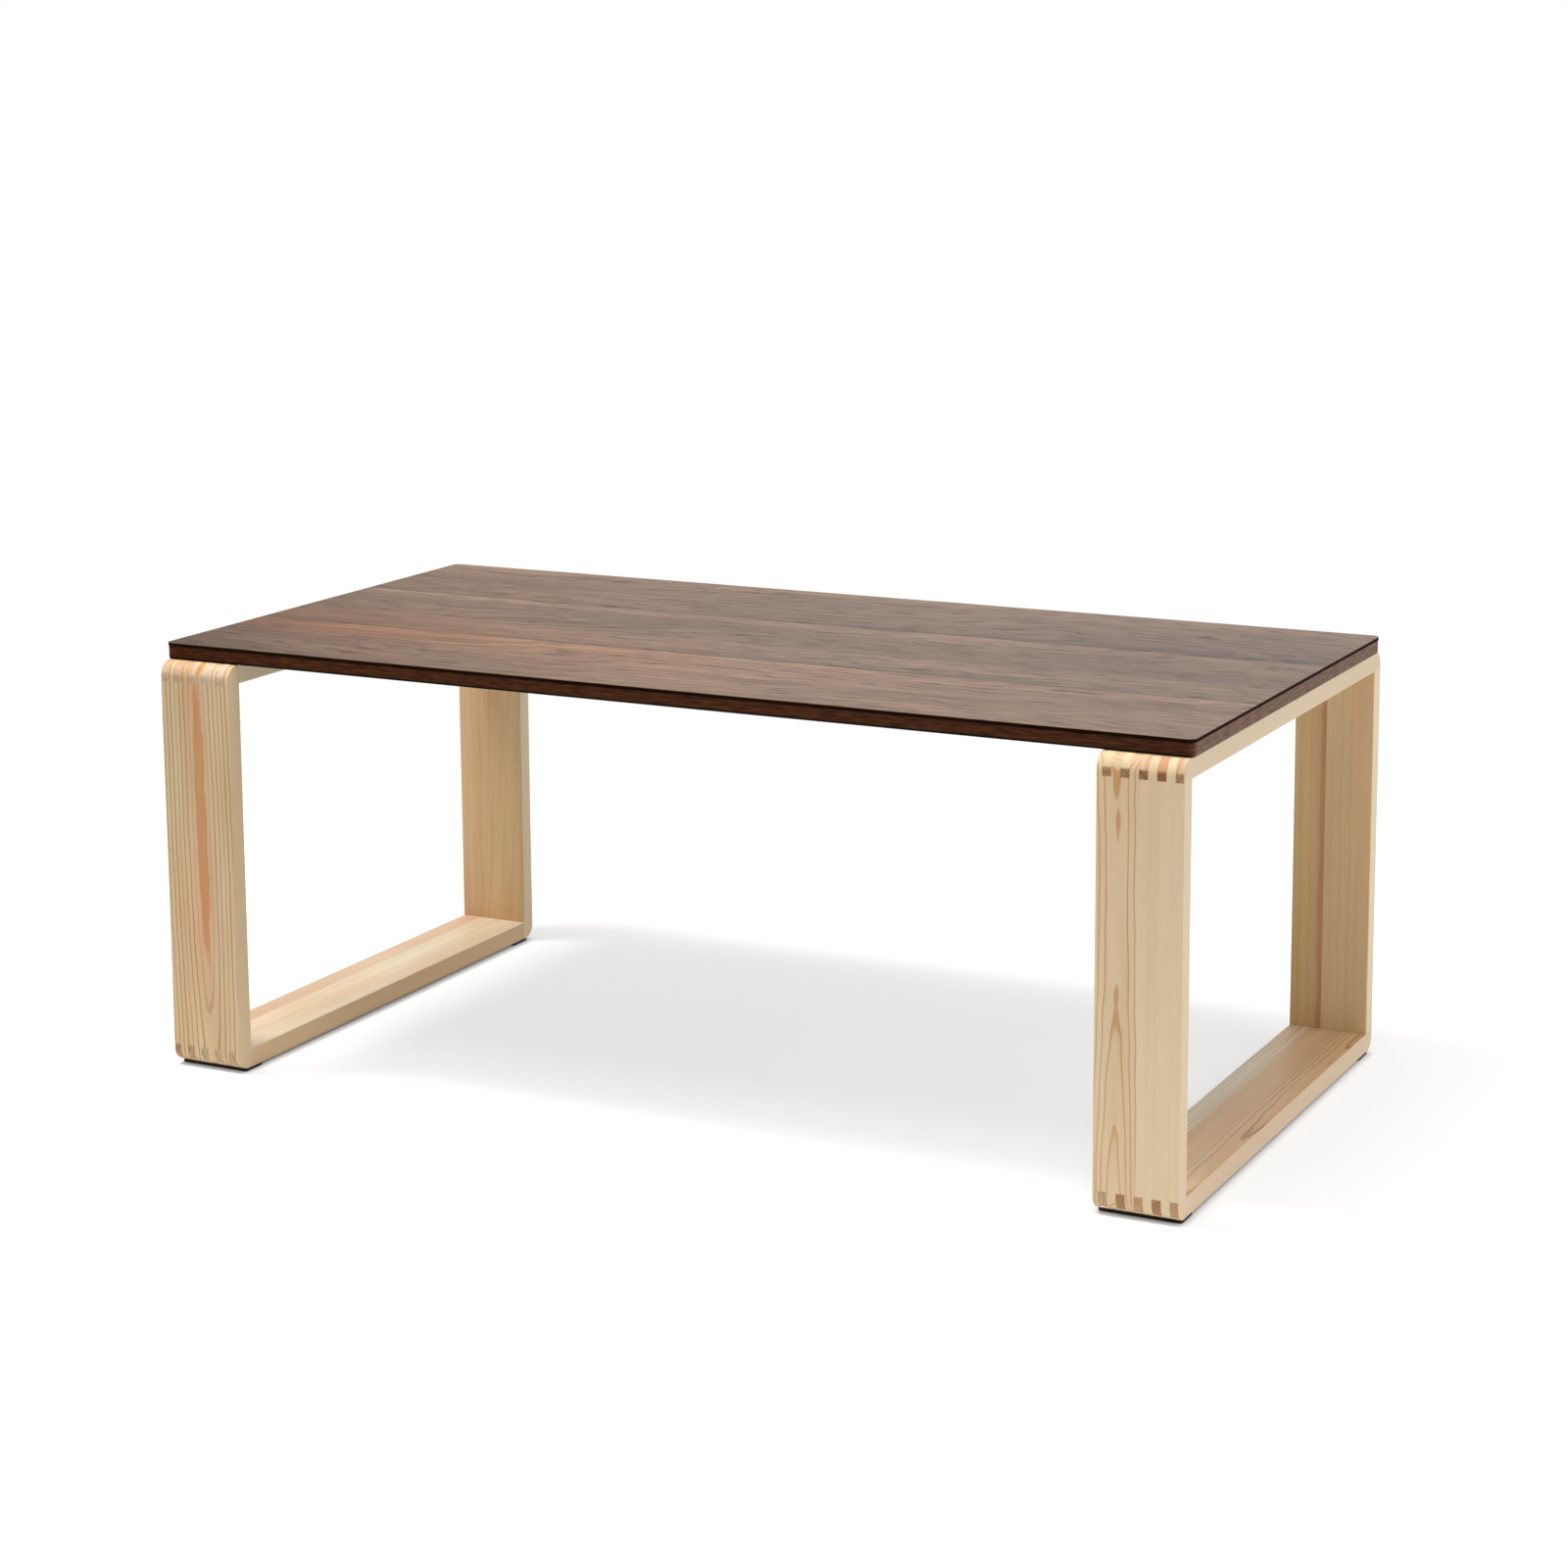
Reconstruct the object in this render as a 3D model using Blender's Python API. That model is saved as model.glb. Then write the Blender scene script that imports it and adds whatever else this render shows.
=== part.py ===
# Coffee table: a dark layered board on two finger-jointed pine loop frames.
# Metres, +Z up, +X along the table, +Y to its rear, origin on the floor under its middle.

import math

import bmesh
import bpy

# Whole table
TABLE_HEIGHT = 0.400
GLUE_GAP = 0.0003  # room between two pieces that are glued, seated or pressed together

# Top board, from its face down to its underside
TOP_LENGTH = 1.000
TOP_DEPTH = 0.500
TOP_CORNER_RADIUS = 0.007
FACE_THICKNESS = 0.003
FACE_EASE = 0.0006  # bevel on the face sheet's upper edge
FACE_OVERHANG = 0.0005  # how far the face sheet stands out past the edge band
CORE_THICKNESS = 0.0105
BACKING_THICKNESS = 0.0009
EDGE_BAND_THICKNESS = 0.001

# Loop frames, each of two posts and two rails
FRAME_END_INSET = 0.003  # from the top's end to the frame's outer side
FRAME_REACH = 0.0125  # how far a frame stands out past the top, front and rear
BOARD_WIDTH = 0.075
BOARD_THICKNESS = 0.018
FRAME_CORNER_RADIUS = 0.014
FINGER_WIDTH = 0.00775

# Foot pads, across the bottom rails
PAD_THICKNESS = 0.0027
PAD_DEPTH = 0.025
PAD_SIDE_INSET = 0.001
PAD_END_INSET = 0.011  # from the rail's end to the pad
PAD_CORNER_RADIUS = 0.002

# Furniture bolts that hold the top down on the top rails
BOLT_SIDE_INSET = 0.0195  # from a rail's sides to its bolts
BOLT_END_INSET = 0.0975  # from a rail's ends to its bolts
BOLT_RADIUS = 0.003
BOLT_ENGAGEMENT = 0.006  # how far a bolt reaches into the top, which makes it 20 mm long
BOLT_TIP_CHAMFER = 0.0008
BOLT_HEAD_RADIUS = 0.006
BOLT_HEAD_HEIGHT = 0.0022
BOLT_HEAD_CHAMFER = 0.0004
BOLT_SOCKET_RADIUS = 0.0023  # to the corners of the hexagon
BOLT_SOCKET_DEPTH = 0.0014
BOLT_HOLE_CLEARANCE = 0.0005
WASHER_RADIUS = 0.007
WASHER_THICKNESS = 0.0012
HEAD_RECESS = 0.0021  # from the rail's underside up to the bolt's head
COUNTERBORE_CLEARANCE = 0.001

# Threaded inserts in the top's underside
INSERT_LENGTH = 0.0085
INSERT_WALL = 0.0011
INSERT_BARB = 0.0005
INSERT_BARB_COUNT = 2
INSERT_FLANGE_RADIUS = 0.006
INSERT_FLANGE_THICKNESS = 0.0007

# Mesh fineness and cutters
CORNER_STEPS = 8
ROUND_STEPS = 16
SOCKET_SIDES = 6
SMOOTH_ANGLE = 35  # degrees
CUT_REACH = 0.005  # how far a cutter runs out past the piece that it cuts
LEAST_RADIUS = 0.0005
SIDES = (("left", -1), ("right", 1))
ENDS = (("front", -1), ("rear", 1))

# Heights and places that follow from the sizes above
TOP_THICKNESS = FACE_THICKNESS + CORE_THICKNESS + BACKING_THICKNESS + 2 * GLUE_GAP
TOP_UNDERSIDE = TABLE_HEIGHT - TOP_THICKNESS
CORE_BOTTOM = TOP_UNDERSIDE + BACKING_THICKNESS + GLUE_GAP
FACE_BOTTOM = TABLE_HEIGHT - FACE_THICKNESS
FRAME_BOTTOM = PAD_THICKNESS + GLUE_GAP
FRAME_HEIGHT = TOP_UNDERSIDE - GLUE_GAP - FRAME_BOTTOM
FRAME_OUTER_X = TOP_LENGTH / 2 - FRAME_END_INSET
FRAME_DEPTH = TOP_DEPTH + 2 * FRAME_REACH
FRAME_RADIUS = min(FRAME_CORNER_RADIUS, BOARD_THICKNESS - LEAST_RADIUS)
NOTCH_DEPTH = BOARD_THICKNESS + GLUE_GAP
INSERT_BORE = BOLT_RADIUS + GLUE_GAP
INSERT_RADIUS = INSERT_BORE + INSERT_WALL
INSERT_HOLE_RADIUS = INSERT_RADIUS + INSERT_BARB + GLUE_GAP
BOLT_HOLE_RADIUS = BOLT_RADIUS + BOLT_HOLE_CLEARANCE
BOLT_SEAT = HEAD_RECESS + BOLT_HEAD_HEIGHT  # the head's upper face, from the rail's underside
BOLT_LENGTH = BOARD_THICKNESS - BOLT_SEAT + GLUE_GAP + BOLT_ENGAGEMENT
COUNTERBORE_DEPTH = BOLT_SEAT + WASHER_THICKNESS + 2 * GLUE_GAP
COUNTERBORE_RADIUS = max(WASHER_RADIUS, BOLT_HEAD_RADIUS) + COUNTERBORE_CLEARANCE


def clear_scene():
    for thing in list(bpy.data.objects):
        bpy.data.objects.remove(thing, do_unlink=True)


def make_material(name, colour, roughness, metallic=0.0):
    material = bpy.data.materials.new(name)
    material.use_nodes = True
    shader = material.node_tree.nodes["Principled BSDF"]
    shader.inputs["Base Color"].default_value = (*colour, 1.0)
    shader.inputs["Roughness"].default_value = roughness
    shader.inputs["Metallic"].default_value = metallic
    return material


def make_empty(name, location):
    empty = bpy.data.objects.new(name, None)
    empty.location = location
    bpy.context.collection.objects.link(empty)
    return empty


def make_object(name, bm, material=None, parent=None, location=(0.0, 0.0, 0.0)):
    bmesh.ops.recalc_face_normals(bm, faces=bm.faces[:])
    mesh = bpy.data.meshes.new(name)
    bm.to_mesh(mesh)
    bm.free()
    thing = bpy.data.objects.new(name, mesh)
    bpy.context.collection.objects.link(thing)
    thing.parent = parent
    thing.location = location
    if material:
        mesh.materials.append(material)
    return thing


def cut(thing, bm):
    # the cutter shares the place of the piece that it cuts
    cutter = make_object(thing.name + "_cutter", bm, None, thing.parent, thing.location)
    cutter.hide_render = True
    cutter.display_type = "WIRE"
    modifier = thing.modifiers.new("cut", "BOOLEAN")
    modifier.operation = "DIFFERENCE"
    modifier.solver = "EXACT"
    modifier.object = cutter


def shade_round(thing):
    thing.data.shade_smooth()
    thing.data.set_sharp_from_angle(angle=math.radians(SMOOTH_ANGLE))


def arc(centre, radius, start, stop):
    angles = [math.radians(start + (stop - start) * i / CORNER_STEPS) for i in range(CORNER_STEPS + 1)]
    return [(centre[0] + radius * math.cos(a), centre[1] + radius * math.sin(a)) for a in angles]


def rounded_rectangle(length, depth, radius):
    u = length / 2 - radius
    v = depth / 2 - radius
    corners = ((u, v, 0), (-u, v, 90), (-u, -v, 180), (u, -v, 270))
    return [p for cu, cv, turn in corners for p in arc((cu, cv), radius, turn, turn + 90)]


def top_outline(inset):
    # the top's outline in plan, drawn in by the same amount all round
    radius = max(TOP_CORNER_RADIUS - inset, LEAST_RADIUS)
    return rounded_rectangle(TOP_LENGTH - 2 * inset, TOP_DEPTH - 2 * inset, radius)


def add_loops(bm, loops, closed):
    # skins matching loops of points; a closed stack is a ring, an open one gets end caps
    rows = [[bm.verts.new(point) for point in loop] for loop in loops]
    pairs = list(zip(rows, rows[1:]))
    if closed:
        pairs.append((rows[-1], rows[0]))
    else:
        bm.faces.new(rows[0][::-1])
        bm.faces.new(rows[-1])
    for low, high in pairs:
        for i in range(len(low)):
            j = (i + 1) % len(low)
            bm.faces.new((low[i], low[j], high[j], high[i]))


def slab(outline, bottom, top):
    bm = bmesh.new()
    add_loops(bm, [[(x, y, z) for x, y in outline] for z in (bottom, top)], False)
    return bm


def board(outline, inner_x, outer_x):
    # a board's side outline, in Y and Z, run across the frame's width
    bm = bmesh.new()
    add_loops(bm, [[(x, y, z) for y, z in outline] for x in (inner_x, outer_x)], False)
    return bm


def add_box(bm, low, high):
    plan = ((low[0], low[1]), (high[0], low[1]), (high[0], high[1]), (low[0], high[1]))
    add_loops(bm, [[(x, y, z) for x, y in plan] for z in (low[2], high[2])], False)


def add_turned(bm, profile, closed=False, centre=(0.0, 0.0), steps=ROUND_STEPS):
    # profile holds (radius, height) points; a closed one is a ring round the axis
    turns = [2 * math.pi * i / steps for i in range(steps)]
    loops = []
    for radius, z in profile:
        loops.append([(centre[0] + radius * math.cos(a), centre[1] + radius * math.sin(a), z) for a in turns])
    add_loops(bm, loops, closed)


def bolt_places(inward):
    # (x, y) of each bolt on a frame, from its outer side and its middle
    y = FRAME_DEPTH / 2 - BOLT_END_INSET
    across = (BOLT_SIDE_INSET, BOARD_WIDTH - BOLT_SIDE_INSET)
    return [(inward * x, facing * y) for end, facing in ENDS for x in across]


def finger_spans():
    # from the outer side inwards, a rail's finger first, then a post's, turn about
    count = max(2, round(BOARD_WIDTH / FINGER_WIDTH))
    edges = [i * FINGER_WIDTH for i in range(count)] + [BOARD_WIDTH]
    return list(zip(edges, edges[1:]))


def notch_widths(inward, first):
    # the x ranges cut away for the other board's fingers, with half the glue gap on each side
    widths = []
    for start, stop in finger_spans()[first::2]:
        near = -CUT_REACH if start == 0 else start - GLUE_GAP / 2
        far = BOARD_WIDTH + CUT_REACH if stop == BOARD_WIDTH else stop + GLUE_GAP / 2
        widths.append(sorted((inward * near, inward * far)))
    return widths


def post_outline(facing):
    outer = FRAME_DEPTH / 2
    inner = outer - BOARD_THICKNESS
    centre_y = outer - FRAME_RADIUS
    points = [(inner, FRAME_HEIGHT), (inner, 0.0)]
    points += arc((centre_y, FRAME_RADIUS), FRAME_RADIUS, -90, 0)
    points += arc((centre_y, FRAME_HEIGHT - FRAME_RADIUS), FRAME_RADIUS, 0, 90)
    return [(facing * y, z) for y, z in points]


def build_post(name, facing, inward, frame, material):
    bm = board(post_outline(facing), *sorted((0.0, inward * BOARD_WIDTH)))
    post = make_object(name, bm, material, frame)
    y_faces = sorted((facing * FRAME_DEPTH / 2, facing * (FRAME_DEPTH / 2 - BOARD_THICKNESS)))
    notch_heights = (
        (-CUT_REACH, NOTCH_DEPTH),
        (FRAME_HEIGHT - NOTCH_DEPTH, FRAME_HEIGHT + CUT_REACH),
    )
    cutter = bmesh.new()
    for x_low, x_high in notch_widths(inward, 0):
        for z_low, z_high in notch_heights:
            low = (x_low, y_faces[0] - CUT_REACH, z_low)
            high = (x_high, y_faces[1] + CUT_REACH, z_high)
            add_box(cutter, low, high)
    cut(post, cutter)


def rail_outline(upper):
    outer = FRAME_DEPTH / 2
    centre_y = outer - FRAME_RADIUS
    centre_z = BOARD_THICKNESS - FRAME_RADIUS
    points = [(-outer, 0.0), (outer, 0.0)]
    points += arc((centre_y, centre_z), FRAME_RADIUS, 0, 90)
    points += arc((-centre_y, centre_z), FRAME_RADIUS, 90, 180)
    if upper:
        return [(y, FRAME_HEIGHT - BOARD_THICKNESS + z) for y, z in points]
    return [(y, BOARD_THICKNESS - z) for y, z in points]


def build_rail(name, upper, inward, frame, material):
    bm = board(rail_outline(upper), *sorted((0.0, inward * BOARD_WIDTH)))
    rail = make_object(name, bm, material, frame)
    bottom = FRAME_HEIGHT - BOARD_THICKNESS if upper else 0.0
    top = bottom + BOARD_THICKNESS
    inner_end = FRAME_DEPTH / 2 - NOTCH_DEPTH
    outer_end = FRAME_DEPTH / 2 + CUT_REACH
    cutter = bmesh.new()
    for x_low, x_high in notch_widths(inward, 1):
        for y_low, y_high in ((-outer_end, -inner_end), (inner_end, outer_end)):
            add_box(cutter, (x_low, y_low, bottom - CUT_REACH), (x_high, y_high, top + CUT_REACH))
    if upper:
        profile = [
            (COUNTERBORE_RADIUS, bottom - CUT_REACH),
            (COUNTERBORE_RADIUS, bottom + COUNTERBORE_DEPTH),
            (BOLT_HOLE_RADIUS, bottom + COUNTERBORE_DEPTH),
            (BOLT_HOLE_RADIUS, top + CUT_REACH),
        ]
        for place in bolt_places(inward):
            add_turned(cutter, profile, centre=place)
    cut(rail, cutter)


def build_pad(name, facing, inward, frame, material):
    outline = rounded_rectangle(BOARD_WIDTH - 2 * PAD_SIDE_INSET, PAD_DEPTH, PAD_CORNER_RADIUS)
    bm = slab(outline, -PAD_THICKNESS, 0.0)
    y = facing * (FRAME_DEPTH / 2 - PAD_END_INSET - PAD_DEPTH / 2)
    make_object(name, bm, material, frame, (inward * BOARD_WIDTH / 2, y, -GLUE_GAP))


def build_bolt(name, place, frame, material):
    # the head's upper face is at local zero, the shank runs up from it
    bm = bmesh.new()
    profile = [
        (BOLT_HEAD_RADIUS - BOLT_HEAD_CHAMFER, -BOLT_HEAD_HEIGHT),
        (BOLT_HEAD_RADIUS, BOLT_HEAD_CHAMFER - BOLT_HEAD_HEIGHT),
        (BOLT_HEAD_RADIUS, 0.0),
        (BOLT_RADIUS, 0.0),
        (BOLT_RADIUS, BOLT_LENGTH - BOLT_TIP_CHAMFER),
        (BOLT_RADIUS - BOLT_TIP_CHAMFER, BOLT_LENGTH),
    ]
    add_turned(bm, profile)
    seat = FRAME_HEIGHT - BOARD_THICKNESS + BOLT_SEAT
    bolt = make_object(name, bm, material, frame, (*place, seat))
    shade_round(bolt)
    socket = bmesh.new()
    depths = (-BOLT_HEAD_HEIGHT - CUT_REACH, BOLT_SOCKET_DEPTH - BOLT_HEAD_HEIGHT)
    add_turned(socket, [(BOLT_SOCKET_RADIUS, z) for z in depths], steps=SOCKET_SIDES)
    cut(bolt, socket)


def build_washer(name, place, frame, material):
    bore = BOLT_RADIUS + GLUE_GAP
    profile = [(bore, 0.0), (WASHER_RADIUS, 0.0), (WASHER_RADIUS, WASHER_THICKNESS), (bore, WASHER_THICKNESS)]
    bm = bmesh.new()
    add_turned(bm, profile, closed=True)
    seat = FRAME_HEIGHT - BOARD_THICKNESS + BOLT_SEAT + GLUE_GAP
    washer = make_object(name, bm, material, frame, (*place, seat))
    shade_round(washer)


def build_insert(name, place, top, material):
    # a sleeve with a flange at its mouth and saw-tooth barbs up its side
    profile = [(INSERT_BORE, 0.0), (INSERT_FLANGE_RADIUS, 0.0)]
    profile += [(INSERT_FLANGE_RADIUS, INSERT_FLANGE_THICKNESS), (INSERT_RADIUS, INSERT_FLANGE_THICKNESS)]
    barb_pitch = (INSERT_LENGTH - INSERT_FLANGE_THICKNESS) / (INSERT_BARB_COUNT + 1)
    for i in range(1, INSERT_BARB_COUNT + 1):
        tip = INSERT_FLANGE_THICKNESS + i * barb_pitch
        root = tip - barb_pitch / 2
        profile += [(INSERT_RADIUS, root), (INSERT_RADIUS + INSERT_BARB, root), (INSERT_RADIUS, tip)]
    profile += [(INSERT_RADIUS, INSERT_LENGTH), (INSERT_BORE, INSERT_LENGTH)]
    bm = bmesh.new()
    add_turned(bm, profile, closed=True)
    insert = make_object(name, bm, material, top, (*place, 0.0))
    shade_round(insert)


def insert_holes(places):
    # wide for the flange, then narrow and blind for the sleeve and the bolt's tip
    flange_hole = INSERT_FLANGE_RADIUS + GLUE_GAP
    step = INSERT_FLANGE_THICKNESS + GLUE_GAP
    blind_end = max(INSERT_LENGTH, BOLT_ENGAGEMENT) + GLUE_GAP
    profile = [(flange_hole, -CUT_REACH), (flange_hole, step), (INSERT_HOLE_RADIUS, step)]
    profile.append((INSERT_HOLE_RADIUS, blind_end))
    bm = bmesh.new()
    for place in places:
        add_turned(bm, profile, centre=place)
    return bm


def build_frame(side, sign, finishes):
    inward = -sign
    frame = make_empty(side + "_frame", (sign * FRAME_OUTER_X, 0.0, FRAME_BOTTOM))
    for end, facing in ENDS:
        build_post(f"{side}_{end}_post", facing, inward, frame, finishes["pine"])
        build_pad(f"{side}_{end}_pad", facing, inward, frame, finishes["rubber"])
    build_rail(side + "_top_rail", True, inward, frame, finishes["pine"])
    build_rail(side + "_bottom_rail", False, inward, frame, finishes["pine"])
    for number, place in enumerate(bolt_places(inward), 1):
        build_bolt(f"{side}_bolt_{number}", place, frame, finishes["steel"])
        build_washer(f"{side}_washer_{number}", place, frame, finishes["steel"])


def build_top(finishes):
    # places in the top's own frame, whose zero is the top's underside
    top = make_empty("top", (0.0, 0.0, TOP_UNDERSIDE))
    core_bottom = CORE_BOTTOM - TOP_UNDERSIDE
    core_top = core_bottom + CORE_THICKNESS
    face_bottom = FACE_BOTTOM - TOP_UNDERSIDE

    # the face sheet, with its upper edge eased
    heights = ((0.0, face_bottom), (0.0, TOP_THICKNESS - FACE_EASE), (FACE_EASE, TOP_THICKNESS))
    face = bmesh.new()
    add_loops(face, [[(x, y, z) for x, y in top_outline(inset)] for inset, z in heights], False)
    make_object("top_face_sheet", face, finishes["walnut"], top)

    # the edge band, a ring as tall as the core and the backing together
    band_inset = FACE_OVERHANG + EDGE_BAND_THICKNESS
    band_top = face_bottom - GLUE_GAP
    section = ((band_inset, band_top), (band_inset, 0.0), (FACE_OVERHANG, 0.0), (FACE_OVERHANG, band_top))
    band = bmesh.new()
    add_loops(band, [[(x, y, z) for x, y in top_outline(inset)] for inset, z in section], True)
    make_object("top_edge_band", band, finishes["edge"], top)

    inside = top_outline(band_inset + GLUE_GAP)
    core = make_object("top_core_board", slab(inside, core_bottom, core_top), finishes["core"], top)
    backing = make_object("top_backing_sheet", slab(inside, 0.0, BACKING_THICKNESS), finishes["backing"], top)

    places = {}
    for side, sign in SIDES:
        for number, (x, y) in enumerate(bolt_places(-sign), 1):
            places[f"{side}_insert_{number}"] = (sign * FRAME_OUTER_X + x, y)
    for sheet in (core, backing):
        cut(sheet, insert_holes(places.values()))
    for name, place in places.items():
        build_insert(name, place, top, finishes["brass"])


def main():
    clear_scene()
    finishes = {
        "walnut": make_material("walnut laminate", (0.105, 0.062, 0.042), 0.45),
        "edge": make_material("dark edge band", (0.045, 0.026, 0.018), 0.45),
        "core": make_material("board core", (0.33, 0.23, 0.14), 0.8),
        "backing": make_material("backing laminate", (0.045, 0.032, 0.026), 0.6),
        "pine": make_material("pine", (0.66, 0.48, 0.29), 0.5),
        "rubber": make_material("black rubber", (0.012, 0.012, 0.012), 0.8),
        "steel": make_material("zinc plated steel", (0.55, 0.55, 0.56), 0.35, 1.0),
        "brass": make_material("turned brass", (0.62, 0.47, 0.22), 0.4, 1.0),
    }
    build_top(finishes)
    for side, sign in SIDES:
        build_frame(side, sign, finishes)


main()
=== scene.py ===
import math
from functools import partial
import bmesh
import bpy
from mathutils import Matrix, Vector


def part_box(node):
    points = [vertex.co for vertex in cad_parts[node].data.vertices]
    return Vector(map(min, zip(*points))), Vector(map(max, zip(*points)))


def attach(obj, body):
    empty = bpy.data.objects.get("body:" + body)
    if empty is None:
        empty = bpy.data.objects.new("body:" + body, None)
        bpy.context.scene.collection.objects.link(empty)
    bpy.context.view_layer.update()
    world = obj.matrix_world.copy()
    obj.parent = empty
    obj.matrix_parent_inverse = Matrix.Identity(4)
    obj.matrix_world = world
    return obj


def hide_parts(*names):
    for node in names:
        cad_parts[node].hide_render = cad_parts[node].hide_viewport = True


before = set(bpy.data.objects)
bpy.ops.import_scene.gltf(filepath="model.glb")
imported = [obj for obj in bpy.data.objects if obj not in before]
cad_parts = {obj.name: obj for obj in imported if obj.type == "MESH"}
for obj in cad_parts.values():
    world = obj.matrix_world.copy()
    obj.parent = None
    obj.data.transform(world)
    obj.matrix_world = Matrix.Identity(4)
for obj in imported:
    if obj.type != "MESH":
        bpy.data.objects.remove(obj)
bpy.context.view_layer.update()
scene = bpy.context.scene
scene.view_settings.view_transform = "Standard"
mm = 0.001
weld = 0.001 * mm  # points closer than this become one
noiseSpan = (0.25, 0.75)  # where nearly all of a noise lies
print("frame:", len(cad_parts), "nodes")


def linear(code):  # an sRGB hex code as the linear colour that shaders take
    parts = [int(code[i:i + 2], 16) / 255 for i in (1, 3, 5)]
    return (*[c / 12.92 if c <= 0.04045 else ((c + 0.055) / 1.055) ** 2.4 for c in parts], 1.0)


def addNode(tree, kind, links=(), ramp=(), **settings):
    # kind leaves out the family of the type, and settings go on the node. links are its inputs, in order in
    # a list or by name or number in a dictionary: each a node, a socket, a plain value or a list of these.
    # Mix names its inputs alike, so they go by number: 0 the share, 2 and 3 plain values, 6 and 7 colours.
    family = next(f for f in ("ShaderNode", "GeometryNode", "") if hasattr(bpy.types, f + kind))
    node = tree.nodes.new(family + kind)
    for key, value in settings.items():
        setattr(node, key, value)
    for key, value in links.items() if isinstance(links, dict) else enumerate(links):
        for item in value if isinstance(value, list) else [value]:
            if isinstance(item, bpy.types.Node):
                item = next(out for out in item.outputs if out.enabled)
            if isinstance(item, bpy.types.NodeSocket):
                tree.links.new(item, node.inputs[key])
            else:
                node.inputs[key].default_value = item
    for i, (at, colour) in enumerate(ramp):
        stops = node.color_ramp.elements
        last = i == len(ramp) - 1
        stop = stops[0] if i == 0 else stops[len(stops) - 1] if last else stops.new(at)
        stop.position = at
        stop.color = colour if isinstance(colour, tuple) else (colour, colour, colour, 1.0)
    return node


def newMaterial(name):  # a bare material, and the function that adds its nodes
    material = bpy.data.materials.new(name)
    material.use_nodes = True
    material.node_tree.nodes.clear()
    return material, partial(addNode, material.node_tree)


def newObject(name, data):
    thing = bpy.data.objects.new(name, data)
    scene.collection.objects.link(thing)
    return thing


def loft(name, loops, closed=False):  # a skin over loops of points, capped or closed on itself
    bm = bmesh.new()
    rings = [[bm.verts.new(point) for point in loop] for loop in loops]
    for low, high in zip(rings, rings[1:] + rings[:1] if closed else rings[1:]):
        for i in range(len(low)):
            j = (i + 1) % len(low)
            bm.faces.new((low[i], low[j], high[j], high[i]))
    if not closed:
        bm.faces.new(rings[0])
        bm.faces.new(rings[-1])
    bmesh.ops.remove_doubles(bm, verts=bm.verts, dist=weld)
    bmesh.ops.dissolve_degenerate(bm, dist=weld / 10, edges=bm.edges)
    bmesh.ops.recalc_face_normals(bm, faces=bm.faces)
    mesh = bpy.data.meshes.new(name)
    bm.to_mesh(mesh)
    bm.free()
    return newObject(name, mesh)


def pointCloud(name, points):  # loose points for a node tree to set pieces on
    mesh = bpy.data.meshes.new(name)
    mesh.from_pydata([tuple(point) for point in points], [], [])
    return newObject(name, mesh)


def settle(piece):  # keeps what the modifiers make as a plain mesh
    depsgraph = bpy.context.evaluated_depsgraph_get()
    made = bpy.data.meshes.new_from_object(piece.evaluated_get(depsgraph))
    piece.modifiers.clear()
    piece.data = made
    made.name = piece.name


def shade(piece, degrees=32):  # round edges smooth, broad faces flat
    piece.data.shade_smooth()
    piece.data.set_sharp_from_angle(angle=math.radians(degrees))
    normals = piece.modifiers.new("flatFaces", "WEIGHTED_NORMAL")
    normals.keep_sharp = True
    settle(piece)


def newTree(name, inputs):  # an empty geometry tree, the function that adds its nodes, and its named inputs
    tree = bpy.data.node_groups.new(name, "GeometryNodeTree")
    tree.interface.new_socket("Geometry", in_out="OUTPUT", socket_type="NodeSocketGeometry")
    for label, kind in {"Geometry": "Geometry", **inputs}.items():
        tree.interface.new_socket(label, in_out="INPUT", socket_type="NodeSocket" + kind)
    add = partial(addNode, tree)
    return tree, add, add("NodeGroupInput").outputs


def endTree(add, geometry, material):
    whole = add("RealizeInstances", {"Geometry": geometry})
    finished = add("SetMaterial", {"Geometry": whole, "Material": material})
    add("NodeGroupOutput", {"Geometry": finished})


def growBy(piece, tree, values):  # runs a tree on a piece, its inputs set by identifier
    modifier = piece.modifiers.new(tree.name, "NODES")
    modifier.node_group = tree
    for item in tree.interface.items_tree:
        if item.in_out == "INPUT" and item.name in values:
            modifier[item.identifier] = values[item.name]
    settle(piece)


def middles(nodes):
    return [(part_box(node)[0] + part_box(node)[1]) / 2 for node in nodes]


def dress(piece, slot, *nodes):
    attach(piece, "root")
    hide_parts(*nodes)


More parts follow.
